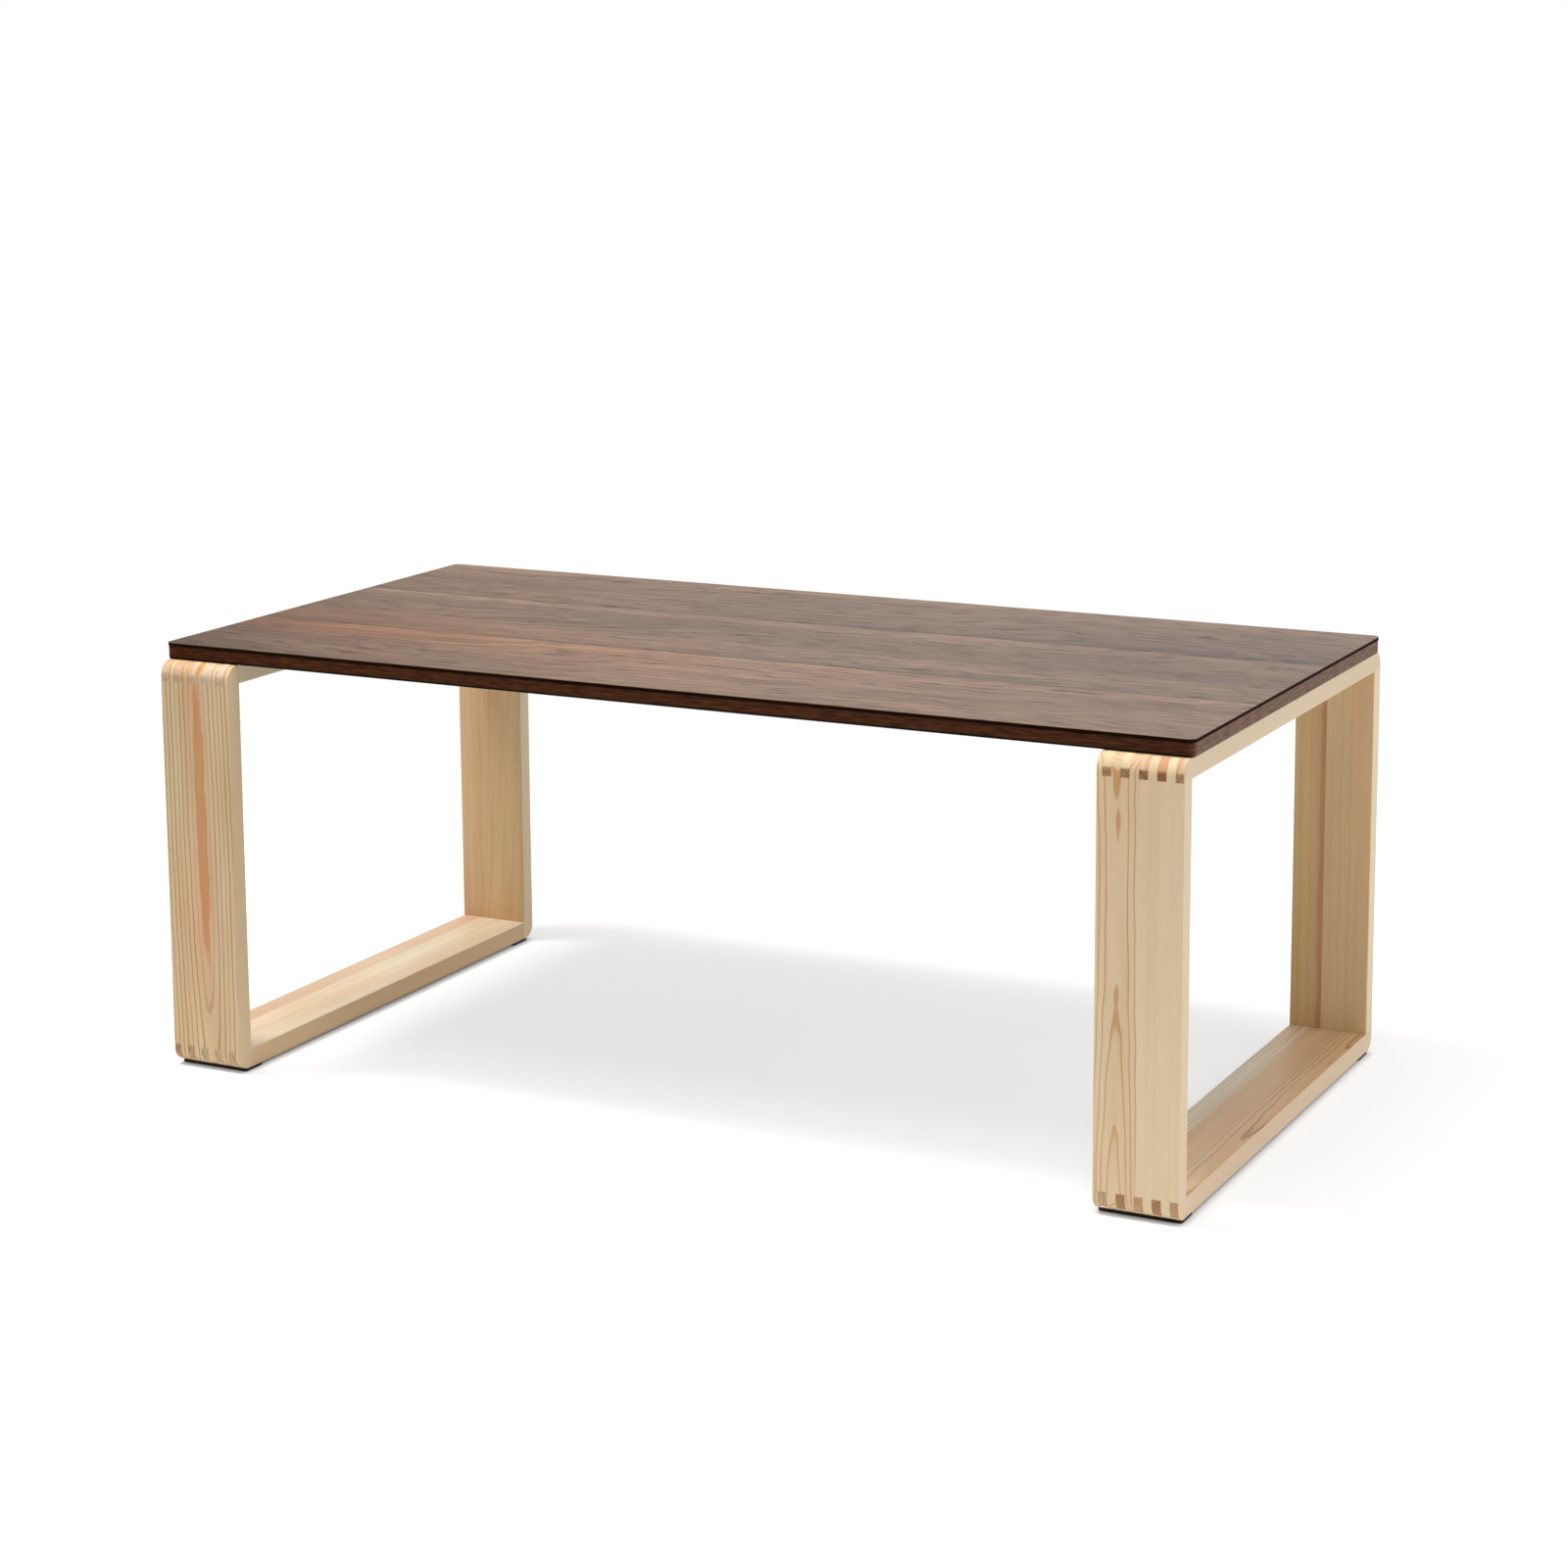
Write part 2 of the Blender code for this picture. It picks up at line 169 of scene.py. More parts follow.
# Pine: planed softwood boards, edge-glued from one or two staves, under a clear satin lacquer.
# The eye gets pale wood with honey growth lines: straight where the cut runs along the rings, pointed
# arches where it leaves them, an orange streak where it meets the heart, and brown end grain.
# Here and for the top, From is the span that a layer comes in over, and Tone what it does to the lightness.
pine = {
    "warp": 4 * mm, "warpAcross": 55 * mm, "warpAlong": 260 * mm,
    "ripple": 2 * mm, "rippleAcross": 13 * mm, "rippleAlong": 36 * mm,
    "wander": 0.45, "vigour": (0.5, 1.0), "dieOut": 0.5,
    "late": ((0.0, 0.0), (0.6, 0.0), (0.78, 0.25), (0.88, 1.0), (0.96, 0.9), (1.0, 0.0)),
    "frayed": (-1.1 * mm, 1.1 * mm), "frayedFrom": (0.2, 0.8),
    "frayedAcross": 6 * mm, "frayedAlong": 24 * mm,
    "halo": "#cba785", "haloFrom": (11 * mm, 1 * mm), "haloShare": 0.5,
    "heart": "#c38c58", "heartFrom": (0.7 * mm, -1.1 * mm),
    "blush": "#fbeadf", "blushFrom": (0.4, 0.65),
    "cloudAcross": 24 * mm, "cloudAlong": 220 * mm, "cloudTone": (0.93, 1.08),
    "fibreAcross": 1.3 * mm, "fibreAlong": 60 * mm, "fibreTone": (0.95, 1.05),  # coarser than real, to show
    "canalAcross": 1.2 * mm, "canalAlong": 14 * mm, "canalFrom": (0.66, 0.78), "canalTone": (1.0, 0.88),
    "plainFrom": (0.2, 0.8), "plainShow": (1.0, 0.3), "edgeFrom": (0.6, 0.95), "edgeShare": 0.75,
    "endTint": "#b5976f", "endFrom": (0.945, 0.995), "endLeast": 0.55, "endRings": -0.35, "lowerEnds": 0.35,
    "roughness": (0.5, 0.4), "ior": 1.5, "bump": 0.25, "relief": 0.12 * mm, "ringRelief": 0.5,
}
staveTakes = {
    "grain": "Vector", "early": "Color", "line": "Color", "lines": "Float", "ring": "Float",
    "first": "Float", "uneven": "Float", "bow": "Float", "bowAt": "Float", "heart": "Float",
    "core": "Float", "reach": "Float", "figure": "Float", "show": "Float", "seed": "Float",
}
staveGives = {"colour": "Color", "late": "Float", "relief": "Float"}


def pineStave():  # growth rings round a pith that lies along the Z of the given grain space
    tree = bpy.data.node_groups.new("pineStave", "ShaderNodeTree")
    for way, sockets in (("INPUT", staveTakes), ("OUTPUT", staveGives)):
        for label, kind in sockets.items():
            tree.interface.new_socket(label, in_out=way, socket_type="NodeSocket" + kind)
    add = partial(addNode, tree)
    given = add("NodeGroupInput").outputs

    def grainNoise(layer, detail):
        across, along = 1 / pine[layer + "Across"], 1 / pine[layer + "Along"]
        spread = add("VectorMath", [given["grain"], (across, across, along)], operation="MULTIPLY")
        return add("TexNoise", {"Vector": spread, "W": given["seed"], "Scale": 1.0, "Detail": detail},
                   noise_dimensions="4D").outputs

    # the grain sways slowly and ripples a little
    place = given["grain"]
    for layer in ("warp", "ripple"):
        wave = grainNoise(layer, 1.0)["Color"]
        sway = add("VectorMath", [wave, (0.5, 0.5, 0.5)], operation="SUBTRACT")
        reach = (pine[layer], pine[layer], 0.0)
        place = add("VectorMath", [sway, reach, place], operation="MULTIPLY_ADD")
    part = add("SeparateXYZ", [place]).outputs
    along = add("Math", [part["Z"], given["bowAt"]], operation="SUBTRACT")
    square = add("Math", [along, along], operation="MULTIPLY")
    depth = add("Math", [square, given["bow"], part["Y"]], operation="MULTIPLY_ADD")
    flat = add("CombineXYZ", [part["X"], depth])
    radius = add("VectorMath", [flat], operation="LENGTH")

    # yearly rings of uneven width and vigour, each with its thin late line
    ratio = add("Math", [radius, given["ring"]], operation="DIVIDE")
    count = add("Math", [ratio, given["first"]], operation="ADD")
    spot = add("Math", [count, pine["wander"], given["seed"]], operation="MULTIPLY_ADD")
    wander = add("TexNoise", {"W": spot, "Scale": 1.0, "Detail": 1.0}, noise_dimensions="1D")
    rings = add("Math", [wander, given["uneven"], count], operation="MULTIPLY_ADD")
    phase = add("Math", [rings], operation="FRACT")
    year = add("Math", [rings], operation="FLOOR")
    yearSeed = add("Math", [year, given["seed"]], operation="ADD")
    vigour = add("TexWhiteNoise", {"W": yearSeed}, noise_dimensions="1D")
    strength = add("MapRange", [vigour, 0.0, 1.0, *pine["vigour"]])
    late = add("ValToRGB", [phase], ramp=pine["late"])
    line = add("Math", [late, strength], operation="MULTIPLY")
    dieOut = add("Math", [given["reach"], pine["dieOut"]], operation="MULTIPLY")
    lasting = add("MapRange", [radius, given["reach"], dieOut, 0.0, given["show"]],
                  interpolation_type="SMOOTHSTEP")
    inked = add("Math", [given["lines"], lasting], operation="MULTIPLY")
    share = add("Math", [line, inked], operation="MULTIPLY")
    ringed = add("Mix", {0: share, 6: given["early"], 7: given["line"]}, data_type="RGBA")

    # a pink halo round the heart, and the heart itself
    fray = grainNoise("frayed", 1.0)["Fac"]
    uneven = add("MapRange", [fray, *pine["frayedFrom"], *pine["frayed"]])
    ragged = add("Math", [radius, uneven], operation="ADD")
    beyond = add("Math", [ragged, given["heart"]], operation="SUBTRACT")
    hearted = ringed
    for layer, most in (("halo", pine["haloShare"]), ("heart", given["core"])):
        share = add("MapRange", [beyond, *pine[layer + "From"], 0.0, most], interpolation_type="SMOOTHSTEP")
        hearted = add("Mix", {0: share, 6: hearted, 7: linear(pine[layer])}, data_type="RGBA")

    # pink and yellow drifts, then light and dark clouds, fibres and resin canals as one factor
    cloud = grainNoise("cloud", 2.0)
    drift = add("SeparateColor", [cloud["Color"]]).outputs["Green"]
    pink = add("MapRange", [drift, *pine["blushFrom"]])
    pinkShare = add("Math", [pink, given["figure"]], operation="MULTIPLY")
    blushed = add("Mix", {0: pinkShare, 6: hearted, 7: linear(pine["blush"])}, data_type="RGBA",
                  blend_type="MULTIPLY")
    fibre = grainNoise("fibre", 2.0)["Fac"]
    fleck = grainNoise("canal", 1.0)["Fac"]
    clouded = add("MapRange", [cloud["Fac"], *noiseSpan, *pine["cloudTone"]])
    fibred = add("MapRange", [fibre, *noiseSpan, *pine["fibreTone"]])
    canal = add("MapRange", [fleck, *pine["canalFrom"], *pine["canalTone"]])
    value = add("Math", [clouded, fibred], operation="MULTIPLY")
    value = add("Math", [value, canal], operation="MULTIPLY")
    figured = add("Mix", {0: given["figure"], 2: 1.0, 3: value})
    veined = add("HueSaturation", {"Value": figured, "Color": blushed})
    relief = add("Math", [line, pine["ringRelief"], fibre], operation="MULTIPLY_ADD")
    add("NodeGroupOutput", {"colour": veined, "late": line, "relief": relief})
    return tree


staveTree = pineStave()


def pineMaterial(name, board, upright, outer, inward):
    material, add = newMaterial(name)
    spot = add("TexCoord").outputs
    across = add("SeparateXYZ", [spot["Object"]]).outputs["X"]
    facing = add("SeparateXYZ", [spot["Normal"]]).outputs
    sideways = add("Math", [facing["X"]], operation="ABSOLUTE")
    shown = add("MapRange", [sideways, *pine["plainFrom"], *pine["plainShow"]])  # edges are planed plain
    grown = []
    for stave in board["staves"]:
        stave = {**plainStave, **stave, "show": shown}
        (pithX, pithDepth), (leanX, leanDepth) = stave["pith"], stave["lean"]
        if upright:
            at = (pithX, pithDepth, 0.0)
            turn = (-math.atan(leanDepth), math.atan(leanX), 0.0)
        else:
            at = (pithX, 0.0, pithDepth)
            turn = (math.atan(leanDepth) - math.pi / 2, 0.0, -math.atan(leanX))
        stave["grain"] = add("Mapping", {"Vector": spot["Object"], "Location": at, "Rotation": turn},
                             vector_type="TEXTURE")
        for tint in ("early", "line"):
            stave[tint] = linear(stave[tint])
        grown.append(add("Group", {key: stave[key] for key in staveTakes}, node_tree=staveTree).outputs)
    colour, late, relief = [grown[0][label] for label in staveGives]
    if len(grown) > 1:  # the second stave starts at the glue line
        past = add("Math", [across, board["seam"]], operation="GREATER_THAN")
        colour = add("Mix", {0: past, 6: colour, 7: grown[1]["colour"]}, data_type="RGBA")
        late = add("Mix", {0: past, 2: late, 3: grown[1]["late"]})
        relief = add("Mix", {0: past, 2: relief, 3: grown[1]["relief"]})
    narrow = add("MapRange", [sideways, *pine["edgeFrom"], 0.0, pine["edgeShare"]],
                 interpolation_type="SMOOTHSTEP")
    colour = add("Mix", {0: narrow, 6: colour, 7: linear(board["edge"])}, data_type="RGBA")
    # end grain drinks the lacquer and goes brown, each finger by its own amount, darkest on its rings
    square = add("Math", [facing["Z" if upright else "Y"]], operation="ABSOLUTE")
    if not upright:  # and it reaches further round the lower corners
        down = add("MapRange", [facing["Z"], 0.0, -1.0, 0.0, pine["lowerEnds"]])
        square = add("Math", [square, down], operation="ADD")
    endGrain = add("MapRange", [square, *pine["endFrom"]], interpolation_type="SMOOTHSTEP")
    inside = add("Math", [across, outer], operation="SUBTRACT")
    number = add("Math", [inside, inward / joints["finger"]], operation="MULTIPLY")
    finger = add("Math", [number], operation="FLOOR")
    fingerSeed = add("Math", [finger, board["staves"][0]["seed"]], operation="ADD")
    thirst = add("TexWhiteNoise", {"W": fingerSeed}, noise_dimensions="1D")
    soaked = add("MapRange", [thirst, 0.0, 1.0, pine["endLeast"] * board["ends"], board["ends"]])
    brown = add("Math", [endGrain, soaked], operation="MULTIPLY")
    ended = add("Mix", {0: brown, 6: colour, 7: linear(pine["endTint"])}, data_type="RGBA",
                blend_type="MULTIPLY")
    arcs = add("Math", [brown, late], operation="MULTIPLY")
    dim = add("Math", [arcs, pine["endRings"], 1.0], operation="MULTIPLY_ADD")
    tinted = add("HueSaturation", {"Value": dim, "Color": ended})
    rough = add("MapRange", [late, 0.0, 1.0, *pine["roughness"]])
    bump = add("Bump", {"Strength": pine["bump"], "Distance": pine["relief"], "Height": relief})
    shader = add("BsdfPrincipled", {
        "Base Color": tinted, "Roughness": rough, "Normal": bump, "IOR": pine["ior"]})
    add("OutputMaterial", {"Surface": shader})
    return material


# Loop frames: four boards to a frame, finger-jointed at the corners. A stave's pith and lean are given
# across the board, then in depth for a post or in height for a rail.
joints = {
    "finger": 7.75 * mm, "gap": 0.05 * mm, "cuts": 5, "overrun": 6 * mm,
    "cornerRadius": 14 * mm, "cornerSteps": 14, "arris": 1.2 * mm, "arrisSteps": 5,
    "boreRadius": 8 * mm, "boreDepth": 6.1 * mm, "holeRadius": 3.5 * mm,
    "drillLength": 60 * mm, "drillSides": 48, "through": 3,  # a cutter is this many boards thick
}
plainStave = {  # where a stave says nothing else: straight, without a heart, its lines as far as it goes
    "lean": (0.0, 0.0), "bow": 0.0, "bowAt": 0.2, "first": 0.0, "uneven": 1.2, "heart": -99 * mm,
    "core": 0.9, "reach": 1.0, "figure": 1.0,
}
boards = {
    "left_front_post": {"ends": 0.3, "edge": "#d3bb93", "staves": [
        {"early": "#ceb58c", "line": "#907043", "lines": 1.2, "pith": (-0.4535, -0.2589),
         "lean": (-0.014, 0.0), "bow": -0.153, "bowAt": 0.26, "ring": 4.7 * mm, "first": 0.77,
         "uneven": 0.0, "heart": 7 * mm, "seed": 3.1}]},
    "left_rear_post": {"ends": 0.6, "edge": "#e6d3af", "seam": -0.463, "staves": [
        {"early": "#d1ae82", "line": "#bd9162", "lines": 0.4, "pith": (-0.56, 0.27), "ring": 8 * mm,
         "seed": 5.2},
        {"early": "#d2b483", "line": "#c09763", "lines": 0.4, "pith": (-0.37, 0.27), "lean": (0.06, 0.0),
         "ring": 9 * mm, "seed": 8.4}]},
    "left_top_rail": {"ends": 0.25, "edge": "#dcc7a4", "seam": -0.462, "staves": [
        {"early": "#c9ae93", "line": "#ae815b", "lines": 0.5, "pith": (-0.48, 0.35), "ring": 5 * mm,
         "seed": 2.7},
        {"early": "#cebaa0", "line": "#b38d60", "lines": 0.5, "pith": (-0.43, 0.36), "ring": 4.5 * mm,
         "seed": 9.3}]},
    "left_bottom_rail": {"ends": 0.85, "edge": "#d0a973", "seam": -0.474, "staves": [
        {"early": "#d8bd9f", "line": "#bd8d66", "lines": 0.45, "pith": (-0.56, 0.05), "ring": 6 * mm,
         "seed": 4.6},
        {"early": "#dfd0b2", "line": "#c29a66", "lines": 0.3, "pith": (-0.37, 0.06), "ring": 8 * mm,
         "seed": 1.9}]},
    "right_front_post": {"ends": 0.5, "edge": "#ddc8a6", "seam": 0.4595, "staves": [
        {"early": "#dcc5a0", "line": "#bf8a45", "lines": 1.0, "pith": (0.4405, -0.2485),
         "lean": (-0.002, 0.0), "bow": 0.107, "bowAt": 0.277, "ring": 3.7 * mm, "first": 0.33,
         "uneven": 0.0, "figure": 0.7, "seed": 6.5},
        {"early": "#dcc6a2", "line": "#cfae80", "lines": 0.2, "pith": (0.57, -0.30), "ring": 7 * mm,
         "figure": 0.4, "seed": 7.7}]},
    "right_rear_post": {"ends": 0.6, "edge": "#e4d5b8", "seam": 0.4525, "staves": [
        {"early": "#e0c084", "line": "#c08f56", "lines": 0.35, "pith": (0.4505, 0.2465), "ring": 9 * mm,
         "heart": 3.4 * mm, "core": 0.75, "figure": 0.6, "seed": 2.2},
        {"early": "#dfc293", "line": "#c39561", "lines": 0.3, "pith": (0.56, 0.24), "ring": 9 * mm,
         "figure": 0.6, "seed": 4.4}]},
    "right_top_rail": {"ends": 1.3, "edge": "#dac4a4", "seam": 0.4582, "staves": [
        {"early": "#dccba8", "line": "#c9a672", "lines": 0.3, "pith": (0.43, 0.35), "ring": 5 * mm,
         "seed": 5.9},
        {"early": "#dccaab", "line": "#c09a70", "lines": 0.4, "pith": (0.478, 0.381), "ring": 5.5 * mm,
         "heart": 15 * mm, "core": 0.5, "seed": 3.8}]},
    "right_bottom_rail": {"ends": 0.95, "edge": "#e1c9aa", "seam": 0.443, "staves": [
        {"early": "#f4ebd2", "line": "#bb8a55", "lines": 0.8, "pith": (0.43, 0.02), "lean": (0.02, 0.02),
         "ring": 3.5 * mm, "seed": 1.3},
        {"early": "#e3c49c", "line": "#a96a3a", "lines": 1.0, "pith": (0.4915, 0.005),
         "lean": (0.012, 0.012), "ring": 3.2 * mm, "reach": 34 * mm, "seed": 7.1}]},
}


def fingerComb():  # cuts a row of slots into both ends of a board
    tree, add, given = newTree("fingerComb", {
        "First Cut": "Vector", "Other End": "Vector", "Step": "Vector", "Cuts": "Int", "Cut Size": "Vector",
        "Wood": "Material"})
    cutter = add("MeshCube", {"Size": given["Cut Size"]})
    rows = []
    for start in ("First Cut", "Other End"):
        row = add("MeshLine", {
            "Count": given["Cuts"], "Start Location": given[start], "Offset": given["Step"]}, mode="OFFSET")
        rows.append(add("InstanceOnPoints", {"Points": row, "Instance": cutter}))
    cutters = add("JoinGeometry", {"Geometry": rows})
    solid = add("RealizeInstances", {"Geometry": cutters})
    cut = add("MeshBoolean", {"Mesh 1": given["Geometry"], "Mesh 2": solid}, operation="DIFFERENCE",
              solver="EXACT")
    endTree(add, cut, given["Wood"])
    return tree


def boltBores():  # counterbores and clearance holes up through a rail, on the points of a grid
    tree, add, given = newTree("boltBores", {
        "Middle": "Vector", "Spread X": "Float", "Spread Y": "Float", "Bore Radius": "Float",
        "Bore Depth": "Float", "Hole Radius": "Float", "Wood": "Material"})
    grid = add("MeshGrid", {
        "Size X": given["Spread X"], "Size Y": given["Spread Y"], "Vertices X": 2, "Vertices Y": 2})
    places = add("Transform", {"Geometry": grid, "Translation": given["Middle"]})
    twice = add("Math", [given["Bore Depth"], 2.0], operation="MULTIPLY")
    body = given["Geometry"]
    for wide, deep in ((given["Bore Radius"], twice), (given["Hole Radius"], joints["drillLength"])):
        drill = add("MeshCylinder", {"Vertices": joints["drillSides"], "Radius": wide, "Depth": deep})
        drills = add("InstanceOnPoints", {"Points": places, "Instance": drill})
        solid = add("RealizeInstances", {"Geometry": drills})
        body = add("MeshBoolean", {"Mesh 1": body, "Mesh 2": solid}, operation="DIFFERENCE", solver="EXACT")
    endTree(add, body, given["Wood"])
    return tree


def cornerArc(centre, radius, start, steps):  # a quarter turn of points, from start degrees
    turns = [math.radians(start + 90 * i / steps) for i in range(steps + 1)]
    return [(centre[0] + radius * math.cos(t), centre[1] + radius * math.sin(t)) for t in turns]


def arrisStations(outer, inner):  # places across a board's width, with how far the worn edge draws in there
    a, steps = joints["arris"], joints["arrisSteps"]
    turns = [math.pi / 2 * i / steps for i in range(steps + 1)]
    edge = [(a - a * math.cos(t), a - a * math.sin(t)) for t in turns]
    way = 1 if inner > outer else -1
    near = [(outer + way * s, e) for s, e in edge]
    far = [(inner - way * s, e) for s, e in reversed(edge)]
    return near + far


# Outlines in depth and height, drawn in by e: o is the loop's outside and i its inside, 0 low and 1 high
def postProfile(yo, yi, z0, z1, zi0, zi1, e):  # a post with its outer face towards plus
    r, steps = joints["cornerRadius"], joints["cornerSteps"]
    return [(yi, z0 + e),
            *cornerArc((yo - r, z0 + r), r - e, -90, steps), *cornerArc((yo - r, z1 - r), r - e, 0, steps),
            (yi, z1 - e), (yi, zi1 + e), (yi + e, zi1 + e), (yi + e, zi0 - e), (yi, zi0 - e)]


def railProfile(yo, yi, z0, zi0, e):  # a bottom rail
    r, steps = joints["cornerRadius"], joints["cornerSteps"]
    return [(e - yo, zi0), (-yi - e, zi0), (-yi - e, zi0 - e),
            (yi + e, zi0 - e), (yi + e, zi0), (yo - e, zi0),
            *reversed(cornerArc((yo - r, z0 + r), r - e, -90, steps)),
            *reversed(cornerArc((r - yo, z0 + r), r - e, 180, steps))]


comb, bores = fingerComb(), boltBores()
for node, board in boards.items():
    side, end, kind = node.split("_")
    low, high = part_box(node)
    bottomLow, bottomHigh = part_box(side + "_bottom_rail")
    topLow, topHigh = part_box(side + "_top_rail")
    yo, yi = bottomHigh.y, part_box(side + "_rear_post")[0].y
    z0, z1, zi0, zi1 = bottomLow.z, topHigh.z, bottomHigh.z, topLow.z
    outer, inner = (low.x, high.x) if side == "left" else (high.x, low.x)
    inward = 1 if inner > outer else -1
    upright = kind == "post"
    face = -1 if end == "front" else 1
    loops = []
    for x, e in arrisStations(outer, inner):
        if upright:
            loops.append([(x, face * y, z) for y, z in postProfile(yo, yi, z0, z1, zi0, zi1, e)])
        elif end == "bottom":
            loops.append([(x, y, z) for y, z in railProfile(yo, yi, z0, zi0, e)])
        else:  # a top rail is a bottom rail turned over
            loops.append([(x, y, z0 + z1 - z) for y, z in railProfile(yo, yi, z0, z0 + z1 - zi1, e)])
    label = node.title().replace("_", "")
    piece = loft(label[0].lower() + label[1:], loops)
    wood = pineMaterial("pine" + label, board, upright, outer, inward)
    pitch = 2 * joints["finger"]
    width = joints["finger"] + 2 * joints["gap"]
    over = joints["overrun"]
    first = outer + inward * joints["finger"] * (0.5 if upright else 1.5)  # posts lack the outermost finger
    if upright:
        middle = face * (yo + yi) / 2
        tall = zi0 + joints["gap"] - z0 + over
        values = {"First Cut": (first, middle, z0 - over + tall / 2),
                  "Other End": (first, middle, z1 + over - tall / 2),
                  "Cut Size": (width, joints["through"] * (yo - yi), tall)}
    else:
        middle = (low.z + high.z) / 2
        tall = yo - yi + joints["gap"] + over
        values = {"First Cut": (first, yo + over - tall / 2, middle),
                  "Other End": (first, -yo - over + tall / 2, middle),
                  "Cut Size": (width, tall, joints["through"] * (high.z - low.z))}
    growBy(piece, comb, {
        **values, "Step": (inward * pitch, 0.0, 0.0), "Cuts": joints["cuts"], "Wood": wood})
    if end == "top":
        centres = middles(["%s_bolt_%d" % (side, i) for i in (1, 2, 3, 4)])
        xs, ys = [c.x for c in centres], [c.y for c in centres]
        growBy(piece, bores, {
            "Middle": (sum(xs) / len(xs), sum(ys) / len(ys), low.z),
            "Spread X": max(xs) - min(xs), "Spread Y": max(ys) - min(ys),
            "Bore Radius": joints["boreRadius"], "Bore Depth": joints["boreDepth"],
            "Hole Radius": joints["holeRadius"], "Wood": wood})
    shade(piece)
    dress(piece, "pine", node)
print("frames: 8 boards")


# Top: a layered board. Its face is walnut-print laminate, pressed with a fine pore relief and satin to the
# touch; seen low it takes a pale sheen, seen from above it is warm brown with planks, wavy growth lines and
# dark pores.
top = {
    "cornerRadius": 7 * mm, "cornerSteps": 20, "leastRadius": 0.2 * mm, "ease": 0.6 * mm, "easeSteps": 5,
    "lip": 0.15 * mm, "faceTilt": 0.45,
    "bandInset": 0.5 * mm, "bandThickness": 1 * mm, "bandEase": 0.4 * mm, "bandRound": 0.3,
    "bandFoot": 0.1 * mm,
}


def roundedLoops(low, high, radius, levels):  # the top's outline at each level, drawn in by its inset
    x, y = (high.x - low.x) / 2 - radius, (high.y - low.y) / 2 - radius
    loops = []
    for z, inset in levels:
        r = max(radius - inset, top["leastRadius"])
        flat = []
        for corner, start in (((x, -y), -90), ((x, y), 0), ((-x, y), 90), ((-x, -y), 180)):
            flat += cornerArc(corner, r, start, top["cornerSteps"])
        loops.append([(*point, z) for point in flat])
    return loops


# print is paler along each plank's rear edge and darkens to its front edge; flecks and pores are drawn
# coarser than real, to show
walnut = {
    "planks": (0.250, 0.0855, -0.098, -0.250), "plankSeed": (3.7, 1.3),
    "tones": ("#5e4837", "#5e4938", "#664d3a"),
    "fade": ((0.0, 1.26), (0.1, 1.22), (0.18, 1.02), (0.34, 0.97), (0.85, 0.95), (0.96, 0.8), (0.985, 0.55),
             (1.0, 0.55)),
    "cool": "#483529", "coolTowards": (-0.25, 0.45),
    "coolShare": ((0.0, 0.3), (0.2, 0.4), (0.32, 1.0), (0.345, 0.2), (1.0, 0.1)),
    "warm": "#6e4628", "warmTowards": (0.1, -0.4),
    "warmShare": ((0.0, 0.0), (0.45, 0.1), (0.62, 0.5), (0.72, 0.8), (0.82, 0.3), (1.0, 0.1)),
    "shade": ((0.0, 1.0), (0.333, 1.0), (0.4, 0.86), (0.52, 0.86), (0.58, 1.1), (0.64, 1.06), (0.667, 1.0),
              (0.98, 1.0), (1.0, 1.8)),  # the middle plank is darkest inside
    # painted shade: the top's lightness falls towards its front left corner, standing in for less light
    # there
    "dusk": ((0.2, 1.0), (0.36, 0.72), (0.52, 0.38)), "duskTowards": (-0.6, -0.8, 0.0),
    "wave": 36 * mm, "waveAcross": 110 * mm, "waveAlong": 330 * mm, "swayFrom": (0.2, 0.8),
    "curl": 6 * mm, "curlAcross": 30 * mm, "curlAlong": 75 * mm,
    "growth": 13 * mm, "swing": 2.6, "swingAcross": 60 * mm, "swingAlong": 260 * mm,
    "late": ((0.0, 0.0), (0.45, 0.0), (0.75, 0.45), (0.88, 1.0), (1.0, 0.0)), "lateTone": (1.12, 0.78),
    "streakAcross": 20 * mm, "streakAlong": 240 * mm, "streakTone": (0.72, 1.28),
    "mottleAcross": 10 * mm, "mottleAlong": 38 * mm, "mottleTone": (0.76, 1.24),
    "fleckAcross": 5.5 * mm, "fleckAlong": 30 * mm, "fleckFrom": (0.5, 0.68), "fleckTone": (1.08, 0.6),
    "fleckShare": (0.35, 1.0),  # flecks keep to the late rings
    "poreAcross": 3.2 * mm, "poreAlong": 22 * mm, "poreFrom": (0.6, 0.74), "poreTone": (1.04, 0.42),
    "roughness": (0.44, 0.6), "ior": 1.45, "bump": 0.6, "relief": 0.45 * mm,
    "poreSunk": -0.5, "fleckSunk": -0.6, "lateSunk": -0.3,
    "edge": "#1a0a04", "edgeRoughness": 0.8, "edgeShine": 0.05,
    "plyAcross": 0.5 * mm, "plyAlong": 30 * mm, "plyFrom": (0.3, 0.7), "plyTone": (0.6, 1.4),
}


